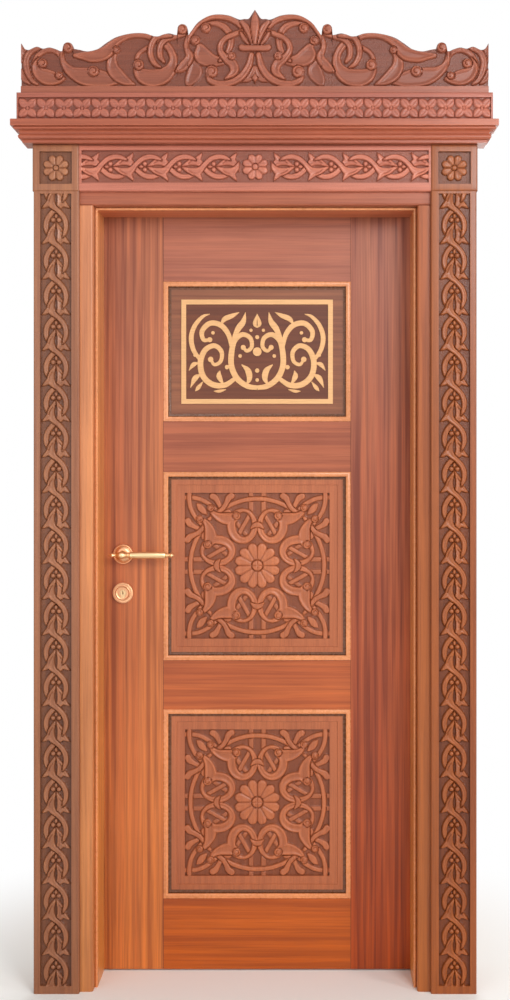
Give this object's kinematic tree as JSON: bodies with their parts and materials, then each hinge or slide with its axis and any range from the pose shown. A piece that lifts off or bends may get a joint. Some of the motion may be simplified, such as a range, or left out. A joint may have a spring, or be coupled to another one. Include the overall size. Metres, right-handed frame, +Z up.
{
  "type": "carved temple door",
  "caption": "Carved hardwood door leaf in its carved frame with a fretted crown, lever handle, latch and key-turned bolt.",
  "frame": {"origin": "middle of the doorway at floor level, midway between the front of the cornice and the back of the rear lever", "axes": "+Z up, +X to the right for someone who faces the carved front, +Y into the wall, away from that person"},
  "size_m": [1.245, 0.3, 2.538],
  "materials": {
    "carved_hardwood": "satin, warm reddish brown",
    "dark_hardwood": "satin, darker reddish brown",
    "jamb_wood": "satin",
    "leaf_wood": "satin, straight striped grain",
    "panel_wood": "satin, with darker sunk grounds",
    "moulding_wood": "satin, slightly more orange",
    "pale_inlay": "satin, pale",
    "golden_brass": "polished, golden",
    "rose_brass": "polished, coppery",
    "lock_steel": "brushed"
  },
  "bodies": {
    "frame": {"jamb_left": "jamb_wood", "jamb_right": "jamb_wood", "head_jamb": "jamb_wood", "casing_left": "carved_hardwood", "casing_right": "carved_hardwood", "casing_head": "carved_hardwood", "pilaster_left": "carved_hardwood", "pilaster_right": "carved_hardwood", "corner_block_left": "carved_hardwood", "corner_block_right": "carved_hardwood", "frieze": "carved_hardwood", "crown_core": "carved_hardwood", "cornice_front": "carved_hardwood", "cornice_return_left": "carved_hardwood", "cornice_return_right": "carved_hardwood", "flower_band": "carved_hardwood", "flower_band_end_left": "carved_hardwood", "flower_band_end_right": "carved_hardwood", "crest_board": "dark_hardwood", "rear_architrave_left": "jamb_wood", "rear_architrave_right": "jamb_wood", "rear_architrave_head": "jamb_wood", "strike_plate": "lock_steel", "hinge_frame_leaves": "lock_steel", "hinge_pins": "lock_steel"},
    "leaf": {"lock_stile": "leaf_wood", "hinge_stile": "leaf_wood", "top_rail": "leaf_wood", "frieze_rail": "leaf_wood", "lock_rail": "leaf_wood", "bottom_rail": "leaf_wood", "panel_top": "panel_wood", "panel_middle": "panel_wood", "panel_bottom": "panel_wood", "front_moulding_top": "moulding_wood", "front_moulding_middle": "moulding_wood", "front_moulding_bottom": "moulding_wood", "rear_moulding_top": "moulding_wood", "rear_moulding_middle": "moulding_wood", "rear_moulding_bottom": "moulding_wood", "inlay_frame": "pale_inlay", "inlay_ornament": "pale_inlay", "lock_case": "lock_steel", "lock_faceplate": "lock_steel", "cylinder_body": "golden_brass", "lever_roses": "rose_brass", "key_roses": "rose_brass", "hinge_door_leaves": "lock_steel"},
    "lever": {"lever_front": "golden_brass", "lever_back": "golden_brass", "spindle": "lock_steel", "follower": "lock_steel"},
    "latch": {"latch_bolt": "lock_steel"},
    "deadbolt": {"dead_bolt": "lock_steel"},
    "plug": {"cylinder_plug": "golden_brass"}
  },
  "joints": [
    {"name": "door_swing", "type": "hinge", "parent": "frame", "child": "leaf", "pos_m": [0.4265, 0.103, 1], "axis": [0, 0, -1], "range_deg": [0, 105]},
    {"name": "lever_turn", "type": "hinge", "parent": "leaf", "child": "lever", "pos_m": [-0.361, 0.075, 1.124], "axis": [0, 1, 0], "range_deg": [0, 45], "stiffness_Nm_per_rad": 2, "springref_deg": -34.38},
    {"name": "latch_slide", "type": "slide", "parent": "leaf", "child": "latch", "axis": [1, 0, 0], "range_m": [0, 0.012]},
    {"name": "key_turn", "type": "hinge", "parent": "leaf", "child": "plug", "pos_m": [-0.361, 0.075, 1.02], "axis": [0, 1, 0], "range_deg": [0, 360]},
    {"name": "deadbolt_slide", "type": "slide", "parent": "leaf", "child": "deadbolt", "axis": [-1, 0, 0], "range_m": [0, 0.02]}
  ],
  "couplings": [
    {"joint": "latch_slide", "follows": "lever_turn", "m_per_rad": 0.015278},
    {"joint": "key_turn", "follows": "deadbolt_slide", "rad_per_m": 314.15}
  ]
}
